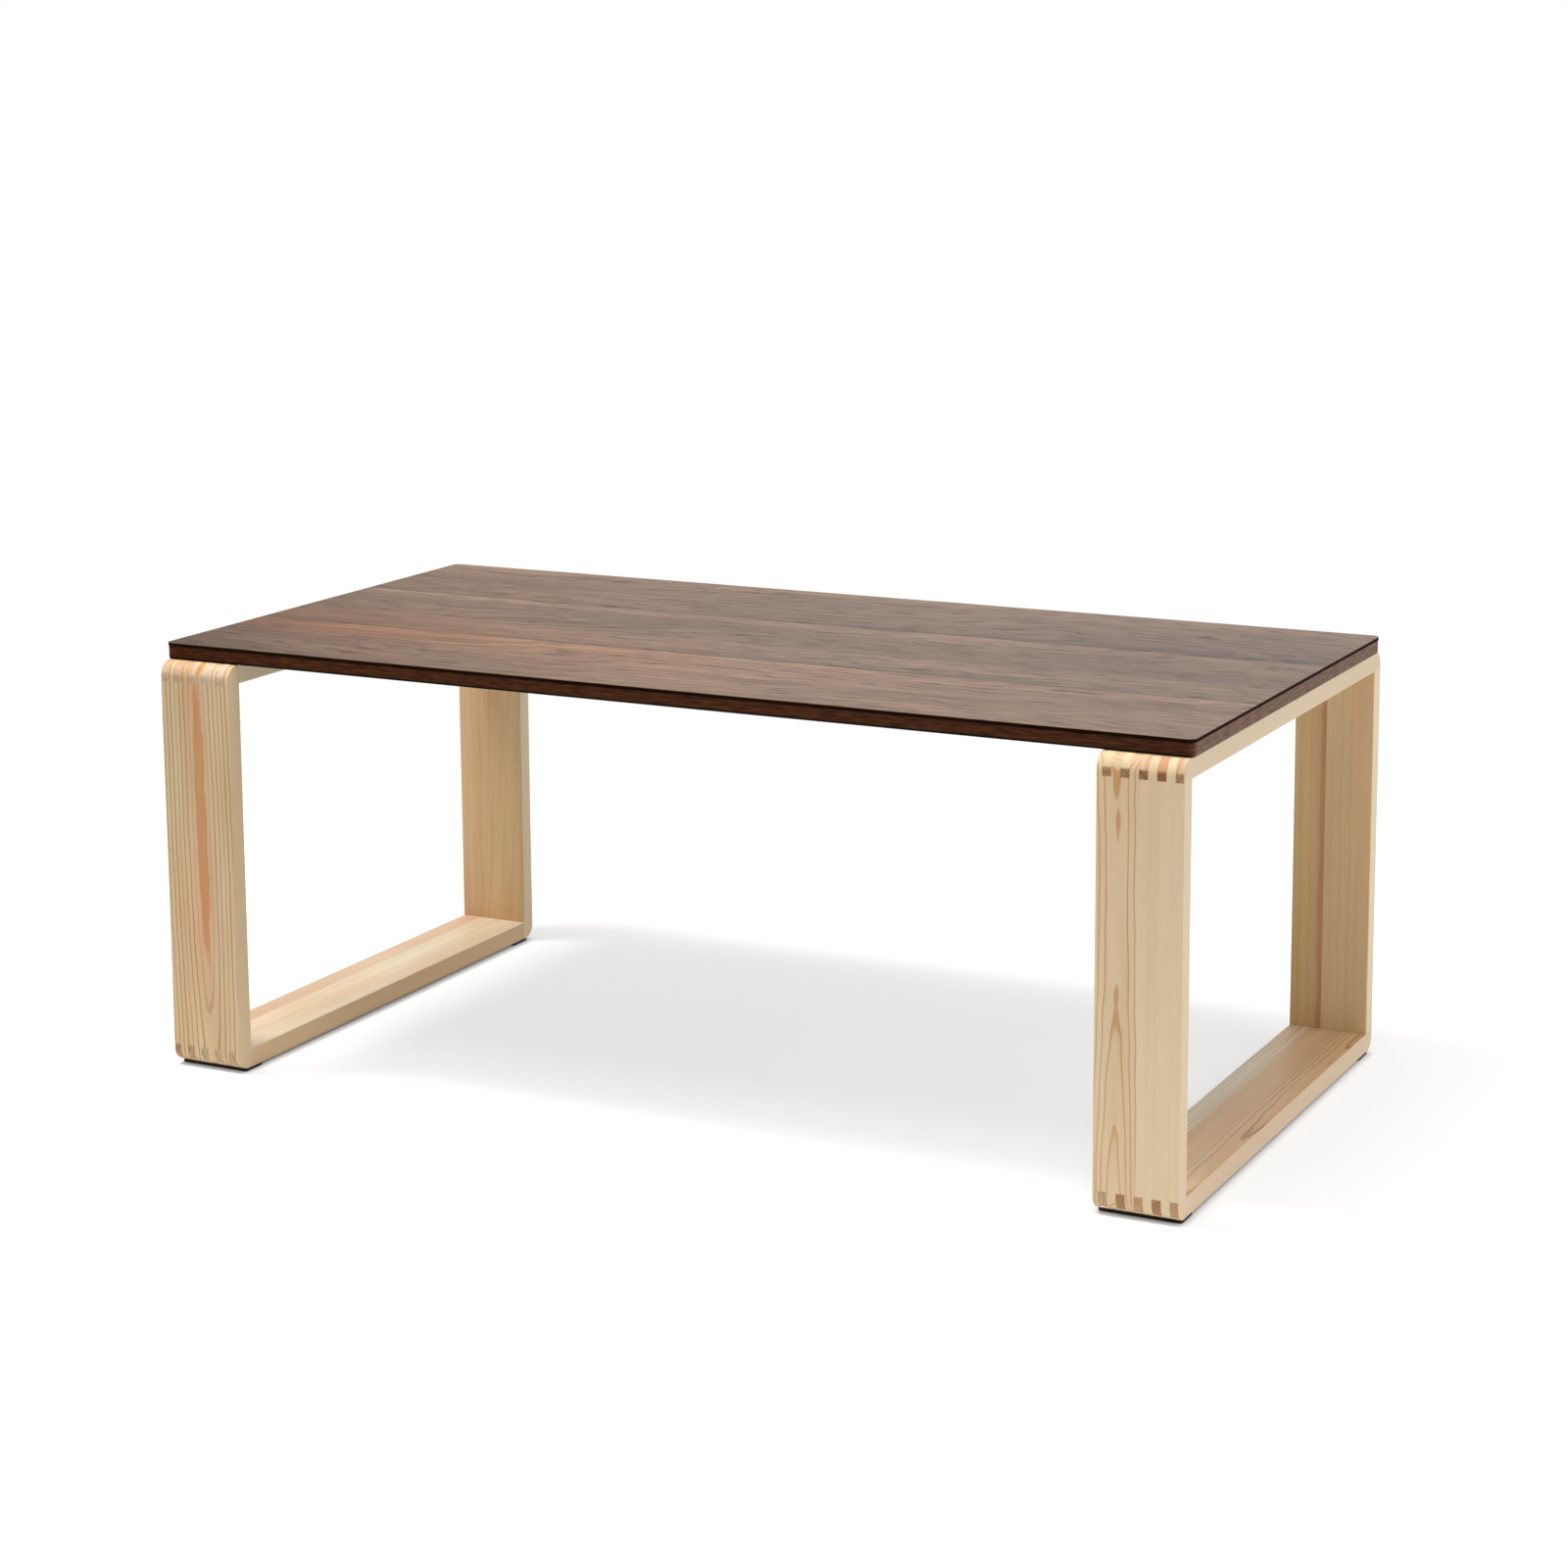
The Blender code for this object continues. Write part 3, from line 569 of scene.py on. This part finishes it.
def walnutLaminate():
    material, add = newMaterial("walnutLaminate")
    spot = add("TexCoord").outputs["Object"]
    place = add("SeparateXYZ", [spot]).outputs
    # how many planks lie behind this place: whole part is the plank, the rest how far across it
    behind = 0.0
    for rear, front in zip(walnut["planks"], walnut["planks"][1:]):
        over = add("MapRange", [place["Y"], rear, front])
        behind = add("Math", [behind, over], operation="ADD")
    number = len(walnut["tones"])
    depth = add("Math", [behind, 1 / number], operation="MULTIPLY")
    plank = add("Math", [behind], operation="FLOOR")
    plankSeed = add("Math", [plank, *walnut["plankSeed"]], operation="MULTIPLY_ADD")
    within = add("Math", [behind], operation="FRACT")

    def printed(layer, source, detail):
        across, along = 1 / walnut[layer + "Across"], 1 / walnut[layer + "Along"]
        spread = add("Mapping", {"Vector": source, "Scale": (along, across, across)})
        return add("TexNoise", {"Vector": spread, "W": plankSeed, "Scale": 1.0, "Detail": detail},
                   noise_dimensions="4D")

    steps = [(i / number, linear(code)) for i, code in enumerate(walnut["tones"])]
    tones = add("ValToRGB", [depth], ramp=steps)
    tones.color_ramp.interpolation = "CONSTANT"
    colour = tones.outputs["Color"]
    # greyer to the rear right, more orange to the front left; painted shade darkens the front left corner,
    # as if less lit
    for hue in ("cool", "warm"):
        side = add("MapRange", [place["X"], *walnut[hue + "Towards"]])
        reach = add("ValToRGB", [depth], ramp=walnut[hue + "Share"])
        share = add("Math", [side, reach], operation="MULTIPLY")
        colour = add("Mix", {0: share, 6: colour, 7: linear(walnut[hue])}, data_type="RGBA")
    corner = add("VectorMath", [spot, walnut["duskTowards"]], operation="DOT_PRODUCT")
    dusk = add("ValToRGB", [corner], ramp=walnut["dusk"])
    # the grain waves along the plank and curls a little, and every layer follows it
    grain = spot
    for layer in ("wave", "curl"):
        far = walnut[layer]
        bend = add("MapRange", [printed(layer, spot, 1.0), *walnut["swayFrom"], -far, far])
        grain = add("VectorMath", [bend, (0.0, 1.0, 0.0), grain], operation="MULTIPLY_ADD")
    swing = printed("swing", grain, 1.0)
    across = add("SeparateXYZ", [grain]).outputs["Y"]
    rows = add("Math", [across, 1 / walnut["growth"]], operation="MULTIPLY")
    rings = add("Math", [swing, walnut["swing"], rows], operation="MULTIPLY_ADD")
    phase = add("Math", [rings], operation="FRACT")
    late = add("ValToRGB", [phase], ramp=walnut["late"])
    streak = printed("streak", grain, 3.0)
    mottle = printed("mottle", grain, 3.0)
    dash = add("MapRange", [printed("fleck", grain, 2.0), *walnut["fleckFrom"]])
    dashShare = add("MapRange", [late, 0.0, 1.0, *walnut["fleckShare"]])
    fleck = add("Math", [dash, dashShare], operation="MULTIPLY")
    pore = add("MapRange", [printed("pore", grain, 1.0), *walnut["poreFrom"]])
    edge = add("ValToRGB", [within], ramp=walnut["fade"])
    inner = add("ValToRGB", [depth], ramp=walnut["shade"])
    layers = [edge, inner, dusk]
    for layer, source, span in (("late", late, (0.0, 1.0)), ("streak", streak, noiseSpan),
                                ("mottle", mottle, noiseSpan), ("fleck", fleck, (0.0, 1.0)),
                                ("pore", pore, (0.0, 1.0))):
        layers.append(add("MapRange", [source, *span, *walnut[layer + "Tone"]]))
    value = 1.0
    for layer in layers:
        value = add("Math", [value, layer], operation="MULTIPLY")
    grained = add("HueSaturation", {"Value": value, "Color": colour})
    rough = add("MapRange", [fleck, 0.0, 1.0, *walnut["roughness"]])
    # pores, flecks and late rings are pressed in
    relief = mottle
    for layer, source in (("pore", pore), ("fleck", fleck), ("late", late)):
        relief = add("Math", [source, walnut[layer + "Sunk"], relief], operation="MULTIPLY_ADD")
    bump = add("Bump", {"Strength": walnut["bump"], "Distance": walnut["relief"], "Height": relief})
    shader = add("BsdfPrincipled", {
        "Base Color": grained, "Roughness": rough, "Normal": bump, "IOR": walnut["ior"]})
    add("OutputMaterial", {"Surface": shader})
    return material


def laminateEdge():
    # the sheet's sawn edge: resin-soaked paper, black and dull, faintly layered
    material, add = newMaterial("laminateSawnEdge")
    spot = add("TexCoord").outputs["Object"]
    across, along = 1 / walnut["plyAcross"], 1 / walnut["plyAlong"]
    layers = add("Mapping", {"Vector": spot, "Scale": (along, along, across)})
    ply = add("TexNoise", {"Vector": layers, "Scale": 1.0, "Detail": 1.0})
    value = add("MapRange", [ply, *walnut["plyFrom"], *walnut["plyTone"]])
    colour = add("HueSaturation", {"Value": value, "Color": linear(walnut["edge"])})
    shader = add("BsdfPrincipled", {
        "Base Color": colour, "Roughness": walnut["edgeRoughness"],
        "Specular IOR Level": walnut["edgeShine"]})
    add("OutputMaterial", {"Surface": shader})
    return material


band = {
    # the end colours are painted light: a paler copy of the long bands' print, as if more lit
    "light": "#5a2d0b", "dark": "#260f04", "endLight": "#7b5233", "endDark": "#432a18",
    "grain": 2 * mm, "grainAlong": 16 * mm, "grainFrom": (0.3, 0.7),
    "line": "#0c0502", "lineHeight": 2.6 * mm, "lineSolid": 0.5,
    "roughness": 0.42, "shine": 0.14, "bump": 0.2, "relief": 0.08 * mm,
}


def edgeBanding(low):
    # ABS edge band with a printed walnut grain: smooth, dark, with a dark line along the bottom of the long
    # bands
    material, add = newMaterial("walnutEdgeBand")
    spot = add("TexCoord").outputs
    place = add("SeparateXYZ", [spot["Object"]]).outputs
    along = add("Math", [place["X"], place["Y"]], operation="ADD")
    run = add("Math", [along, 1 / band["grainAlong"]], operation="MULTIPLY")
    rise = add("Math", [place["Z"], 1 / band["grain"]], operation="MULTIPLY")
    sheet = add("CombineXYZ", [run, rise])
    grain = add("TexNoise", {"Vector": sheet, "Scale": 1.0, "Detail": 3.0})
    share = add("MapRange", [grain, *band["grainFrom"]])
    # painted light: the short bands at the ends are painted paler than the long ones, as a lit copy of the
    # same print, and have no dark bottom line
    facing = add("SeparateXYZ", [spot["Normal"]]).outputs
    ends = add("Math", [facing["X"], facing["X"]], operation="MULTIPLY")
    long, paintedLitEnds = [add("Mix", {0: share, 6: linear(band[dark]), 7: linear(band[light])}, data_type="RGBA")
                   for dark, light in (("dark", "light"), ("endDark", "endLight"))]
    height = band["lineHeight"]
    bottomLineShare = add("MapRange", [place["Z"], low + height, low + band["lineSolid"] * height])
    lined = add("Mix", {0: bottomLineShare, 6: long, 7: linear(band["line"])}, data_type="RGBA")
    colour = add("Mix", {0: ends, 6: lined, 7: paintedLitEnds}, data_type="RGBA")
    bump = add("Bump", {"Strength": band["bump"], "Distance": band["relief"], "Height": grain})
    shader = add("BsdfPrincipled", {
        "Base Color": colour, "Roughness": band["roughness"], "Normal": bump,
        "Specular IOR Level": band["shine"]})
    add("OutputMaterial", {"Surface": shader})
    return material


low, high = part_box("top_face_sheet")
ease, lip = top["ease"], top["lip"]
levels = [(low.z, lip), (low.z + lip, 0.0)]
for i in range(top["easeSteps"] + 1):
    t = math.pi / 2 * i / top["easeSteps"]
    levels.append((high.z - ease + ease * math.sin(t), ease - ease * math.cos(t)))
faceSheet = loft("topFaceSheet", roundedLoops(low, high, top["cornerRadius"], levels))
for material in (walnutLaminate(), laminateEdge()):
    faceSheet.data.materials.append(material)
for side in faceSheet.data.polygons:
    side.material_index = 0 if side.normal.z > top["faceTilt"] else 1
shade(faceSheet)
dress(faceSheet, "walnut_face", "top_face_sheet")

low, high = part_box("top_edge_band")
ease, thick, foot = top["bandEase"], top["bandThickness"], top["bandFoot"]
curve = top["bandRound"] * ease
levels = [(low.z + foot, thick), (low.z, thick - foot), (low.z, ease), (low.z + curve, curve),
          (low.z + ease, 0.0), (high.z - lip, 0.0), (high.z, lip), (high.z, thick)]
radius = top["cornerRadius"] - top["bandInset"]
edgeBand = loft("topEdgeBand", roundedLoops(low, high, radius, levels), closed=True)
edgeBand.data.materials.append(edgeBanding(low.z))
shade(edgeBand)
dress(edgeBand, "edge_band", "top_edge_band")
print("top: face sheet and edge band")


speckle = {"detail": 3.0, "colourFrom": (0.35, 0.65), "roughFrom": (0.3, 0.7), "bump": 0.4}


def speckled(name, colours, grain, roughness, relief, metallic=0.0):
    # a plain finish broken up by a fine speckle of two close colours
    material, add = newMaterial(name)
    spot = add("TexCoord").outputs["Object"]
    speck = add("TexNoise", {"Vector": spot, "Scale": 1 / grain, "Detail": speckle["detail"]})
    share = add("MapRange", [speck, *speckle["colourFrom"]])
    colour = add("Mix", {0: share, 6: linear(colours[0]), 7: linear(colours[1])}, data_type="RGBA")
    rough = add("MapRange", [speck, *speckle["roughFrom"], *roughness])
    bump = add("Bump", {"Strength": speckle["bump"], "Distance": relief, "Height": speck})
    shader = add("BsdfPrincipled", {
        "Base Color": colour, "Roughness": rough, "Normal": bump, "Metallic": metallic})
    add("OutputMaterial", {"Surface": shader})
    return material


finishes = {
    # matt balancing laminate: dark brown with a soft pebbled skin
    "backing": speckled("balancingLaminate", ("#3b2c23", "#4a382c"), 2.4 * mm, (0.55, 0.7), 0.08 * mm),
    # medium-density fibreboard: pressed wood fibre, tan and furry
    "core": speckled("fibreboard", ("#9c7f5c", "#b79a74"), 1.2 * mm, (0.85, 0.95), 0.1 * mm),
    # black rubber: moulded, matt, faintly grained
    "rubber": speckled("blackRubber", ("#121212", "#1d1c1b"), 0.9 * mm, (0.7, 0.85), 0.08 * mm),
    # bright zinc plate on cold-headed steel: grey metal with a soft frosty grain
    "zinc": speckled("zincPlatedSteel", ("#aeb1b4", "#c6c8c9"), 0.8 * mm, (0.28, 0.42), 0.02 * mm, 1.0),
    # turned brass: yellow metal with fine tool marks
    "brass": speckled("turnedBrass", ("#b89347", "#cfae62"), 0.6 * mm, (0.3, 0.45), 0.02 * mm, 1.0),
}
hiddenLayers = {"top_backing_sheet": "backing", "top_core_board": "core"}
for node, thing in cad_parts.items():
    finish = "brass" if "_insert_" in node else hiddenLayers.get(node)
    if finish:
        thing.data.materials.clear()
        thing.data.materials.append(finishes[finish])


# Foot pads: rubber strips under the rails' ends
pads = {"corner": 2 * mm, "cornerSteps": 10, "chamfer": 0.6 * mm, "sole": 0.97}
padNodes = ["%s_%s_pad" % (side, end) for side in ("left", "right") for end in ("front", "rear")]


def footPads():
    tree, add, given = newTree("footPads", {
        "Length": "Float", "Depth": "Float", "Thickness": "Float", "Corner": "Float", "Chamfer": "Float",
        "Rubber": "Material"})
    axis = (0.0, 0.0, 1.0)  # the distances along it are below nought
    outline = add("CurvePrimitiveQuadrilateral", {"Width": given["Length"], "Height": given["Depth"]})
    rounded = add("FilletCurve", {"Curve": outline, "Radius": given["Corner"], "Count": pads["cornerSteps"],
                                  "Limit Radius": True}, mode="POLY")
    sheet = add("FillCurve", {"Curve": rounded}, mode="NGONS")
    deep = add("Math", [given["Chamfer"], given["Thickness"]], operation="SUBTRACT")
    walls = add("ExtrudeMesh", {"Mesh": sheet, "Offset": axis, "Offset Scale": deep}, mode="FACES")
    drop = add("Math", [given["Chamfer"], -1.0], operation="MULTIPLY")
    foot = add("ExtrudeMesh", {"Mesh": walls, "Selection": walls.outputs["Top"], "Offset": axis,
                               "Offset Scale": drop}, mode="FACES")
    sole = add("ScaleElements", {"Geometry": foot, "Selection": foot.outputs["Top"], "Scale": pads["sole"]},
               domain="FACE")
    both = add("JoinGeometry", {"Geometry": [sole, sheet]})
    pad = add("MergeByDistance", {"Geometry": both, "Distance": 10 * weld})
    laid = add("InstanceOnPoints", {"Points": given["Geometry"], "Instance": pad})
    endTree(add, laid, given["Rubber"])
    return tree


low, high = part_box(padNodes[0])
feet = pointCloud("footPads", [(p.x, p.y, high.z) for p in middles(padNodes)])
growBy(feet, footPads(), {
    "Length": high.x - low.x, "Depth": high.y - low.y, "Thickness": high.z - low.z,
    "Corner": pads["corner"], "Chamfer": pads["chamfer"], "Rubber": finishes["rubber"]})
shade(feet)
dress(feet, "foot_pad", *padNodes)


# Furniture bolts: button heads with a hex socket, in counterbores under the top rails, each with a washer
bolt = {
    "shankRadius": 3 * mm, "shankStart": 1.8 * mm, "shankSides": 40,
    "headRadius": 6 * mm, "headHeight": 2.2 * mm, "headSides": 48, "headRings": 24,
    "headCut": (40 * mm, 40 * mm, 20 * mm),
    "socketRadius": 2.3 * mm, "socketDepth": 1.4 * mm, "socketSides": 6,
    "washerPlay": 0.3 * mm, "washerSides": 48, "washerPunch": 20 * mm,
}
boltNodes = ["%s_bolt_%d" % (side, i) for side in ("left", "right") for i in (1, 2, 3, 4)]
washerNodes = [node.replace("bolt", "washer") for node in boltNodes]


def buttonBolts():
    tree, add, given = newTree("buttonBolts", {
        "Length": "Float", "Shank Radius": "Float", "Head Radius": "Float", "Head Height": "Float",
        "Socket Radius": "Float", "Socket Depth": "Float", "Steel": "Material"})
    ball = add("MeshUVSphere", {"Segments": bolt["headSides"], "Rings": bolt["headRings"], "Radius": 1.0})
    size = add("CombineXYZ", [given["Head Radius"], given["Head Radius"], given["Head Height"]])
    lift = add("CombineXYZ", {"Z": given["Head Height"]})
    dome = add("Transform", {"Geometry": ball, "Translation": lift, "Scale": size})
    block = add("MeshCube", {"Size": bolt["headCut"]})
    blockLift = add("VectorMath", [lift, (0.0, 0.0, bolt["headCut"][2] / 2)], operation="ADD")
    above = add("Transform", {"Geometry": block, "Translation": blockLift})
    head = add("MeshBoolean", {"Mesh 1": dome, "Mesh 2": above}, operation="DIFFERENCE", solver="EXACT")
    half = add("Math", [given["Length"], 0.5], operation="MULTIPLY")
    rodMiddle = add("Math", [half, bolt["shankStart"] / 2], operation="ADD")
    rodLift = add("CombineXYZ", {"Z": rodMiddle})
    rodLong = add("Math", [given["Length"], bolt["shankStart"]], operation="SUBTRACT")
    rod = add("MeshCylinder", {
        "Vertices": bolt["shankSides"], "Radius": given["Shank Radius"], "Depth": rodLong})
    shank = add("Transform", {"Geometry": rod, "Translation": rodLift})
    whole = add("MeshBoolean", {"Mesh 2": [head, shank]}, operation="UNION", solver="EXACT")
    twice = add("Math", [given["Socket Depth"], 2.0], operation="MULTIPLY")
    key = add("MeshCylinder", {
        "Vertices": bolt["socketSides"], "Radius": given["Socket Radius"], "Depth": twice})
    made = add("MeshBoolean", {"Mesh 1": whole, "Mesh 2": key}, operation="DIFFERENCE", solver="EXACT")
    laid = add("InstanceOnPoints", {"Points": given["Geometry"], "Instance": made})
    endTree(add, laid, given["Steel"])
    return tree


def flatWashers():
    tree, add, given = newTree("flatWashers", {
        "Radius": "Float", "Hole": "Float", "Thickness": "Float", "Steel": "Material"})
    rounds = ((given["Radius"], given["Thickness"]), (given["Hole"], bolt["washerPunch"]))
    disc, punch = [add("MeshCylinder", {"Vertices": bolt["washerSides"], "Radius": wide, "Depth": deep})
                   for wide, deep in rounds]
    ring = add("MeshBoolean", {"Mesh 1": disc, "Mesh 2": punch}, operation="DIFFERENCE", solver="EXACT")
    laid = add("InstanceOnPoints", {"Points": given["Geometry"], "Instance": ring})
    endTree(add, laid, given["Steel"])
    return tree


low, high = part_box(boltNodes[0])
boltPiece = pointCloud("frameBolts", [(p.x, p.y, low.z) for p in middles(boltNodes)])
growBy(boltPiece, buttonBolts(), {
    "Length": high.z - low.z, "Shank Radius": bolt["shankRadius"],
    "Head Radius": bolt["headRadius"], "Head Height": bolt["headHeight"],
    "Socket Radius": bolt["socketRadius"], "Socket Depth": bolt["socketDepth"], "Steel": finishes["zinc"]})
shade(boltPiece)
dress(boltPiece, "zinc_steel", *boltNodes)
low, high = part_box(washerNodes[0])
washerPiece = pointCloud("boltWashers", middles(washerNodes))
growBy(washerPiece, flatWashers(), {
    "Radius": (high.x - low.x) / 2, "Hole": bolt["shankRadius"] + bolt["washerPlay"],
    "Thickness": high.z - low.z, "Steel": finishes["zinc"]})
shade(washerPiece)
dress(washerPiece, "zinc_steel", *washerNodes)
print("fittings: pads, bolts and washers")


# Studio: white sweep, key light from the left, soft light from above and the right, dim on the camera side
studio = {
    "floorRadius": 1.75, "floorSides": 128, "floorFade": (1.15, 1.7), "floorDiffuse": 0.45,
    # the last distance is how far the painted contact shadow on the floor reaches
    "floorLift": 0.63, "floorBounce": 0.85, "contact": 8 * mm, "sky": 0.44,
    "frontFrom": (-0.55, 0.35), "frontGloss": 0.05, "leftFrom": (-0.7, -0.4), "leftGloss": 0.15,
}
lamps = {
    "key": {"at": (-1.2, -0.42, 2.7), "aim": (0.0, 0.0, 0.2), "size": (0.6, 0.6), "watts": 62.0},
    "overhead": {"at": (0.0, -0.55, 2.5), "aim": (0.0, 0.0, 0.3), "size": (2.0, 1.4), "watts": 35.0},
    "rightSide": {"at": (2.6, 0.2, 1.2), "aim": (0.3, 0.0, 0.2), "size": (1.6, 1.6), "watts": 18.0},
}


def shownTo(add):  # the kinds of ray, and those that go straight to what the camera sees
    ray = add("LightPath").outputs
    straight = add("Math", [ray["Is Camera Ray"], ray["Is Transmission Ray"]], operation="MAXIMUM")
    return ray, straight


def studioFloor():
    # painted sweep: seen white with a pale shadow and a painted contact shadow near the table, fading into
    # the background, with a plain bounce
    material, add = newMaterial("whiteSweep")
    ray, straight = shownTo(add)
    shownRay = add("Math", [straight, ray["Is Glossy Ray"]], operation="MAXIMUM")
    spot = add("TexCoord").outputs["Object"]
    away = add("VectorMath", [spot], operation="LENGTH")
    far = add("MapRange", [away, *studio["floorFade"]], interpolation_type="SMOOTHSTEP")
    seen, bounce = [add("BsdfDiffuse", {"Color": (studio[key], studio[key], studio[key], 1.0)})
                    for key in ("floorDiffuse", "floorBounce")]
    # painted contact shadow: ambient occlusion dims the floor's glow next to the table's feet and rails
    paintedContactShade = add("AmbientOcclusion", {"Distance": studio["contact"]}).outputs["AO"]
    strength = add("Math", [paintedContactShade, studio["floorLift"]], operation="MULTIPLY")
    lift = add("Emission", {"Strength": strength})
    near = add("AddShader", [seen, lift])
    white = add("Emission", {"Strength": 1.0})
    shown = add("MixShader", [far, near, white])
    mixed = add("MixShader", [shownRay, bounce, shown])
    back = add("NewGeometry").outputs["Backfacing"]
    below = add("Math", [back, ray["Is Camera Ray"]], operation="MULTIPLY")
    clear = add("BsdfTransparent")
    sweep = add("MixShader", [below, mixed, clear])  # seen through from below
    add("OutputMaterial", {"Surface": sweep})
    return material


turns = [2 * math.pi * i / studio["floorSides"] for i in range(studio["floorSides"])]
rim = [(studio["floorRadius"] * math.cos(t), studio["floorRadius"] * math.sin(t), 0.0) for t in turns]
floorMesh = bpy.data.meshes.new("floor")
floorMesh.from_pydata(rim, [], [list(range(len(rim)))])
floorMesh.materials.append(studioFloor())
floor = newObject("floor", floorMesh)

world = bpy.data.worlds.new("studio")
scene.world = world
world.use_nodes = True
world.node_tree.nodes.clear()
add = partial(addNode, world.node_tree)
ray, straight = shownTo(add)
aim = add("SeparateXYZ", [add("TexCoord").outputs["Generated"]]).outputs
front = add("MapRange", [aim["Y"], *studio["frontFrom"], studio["frontGloss"], 1.0],
            interpolation_type="SMOOTHSTEP")
left = add("MapRange", [aim["X"], *studio["leftFrom"], studio["leftGloss"], 1.0])
gloss = add("Math", [front, left], operation="MULTIPLY")
glossy = add("Math", [ray["Is Glossy Ray"], gloss], operation="MULTIPLY")
bright = add("Math", [straight, glossy], operation="MAXIMUM")
soft = add("Math", [ray["Is Diffuse Ray"], studio["sky"]], operation="MULTIPLY")
level = add("Math", [bright, soft], operation="MAXIMUM")
light = add("Background", {"Color": (1.0, 1.0, 1.0, 1.0), "Strength": level})
add("OutputWorld", {"Surface": light})
for name, lamp in lamps.items():
    thing = newObject(name, bpy.data.lights.new(name, "AREA"))
    thing.data.shape = "RECTANGLE"
    thing.data.size, thing.data.size_y = lamp["size"]
    thing.data.energy = lamp["watts"]
    thing.location = lamp["at"]
    thing.rotation_euler = (Vector(lamp["aim"]) - Vector(lamp["at"])).to_track_quat("-Z", "Y").to_euler()
    thing.visible_camera = False
    thing.visible_glossy = False

view = {"at": (1.37418, -2.69675, 0.95786), "turn": (80.4292, 0.3353, 26.7389),
        "lens": 76.811, "sensor": 36.0, "shift": (0.0, -0.125)}
camera = newObject("camera", bpy.data.cameras.new("camera"))
camera.location = view["at"]
camera.rotation_euler = [math.radians(angle) for angle in view["turn"]]
camera.data.lens = view["lens"]
camera.data.sensor_width = view["sensor"]
camera.data.shift_x, camera.data.shift_y = view["shift"]
scene.camera = camera
print("studio: floor, world, lamps and camera")
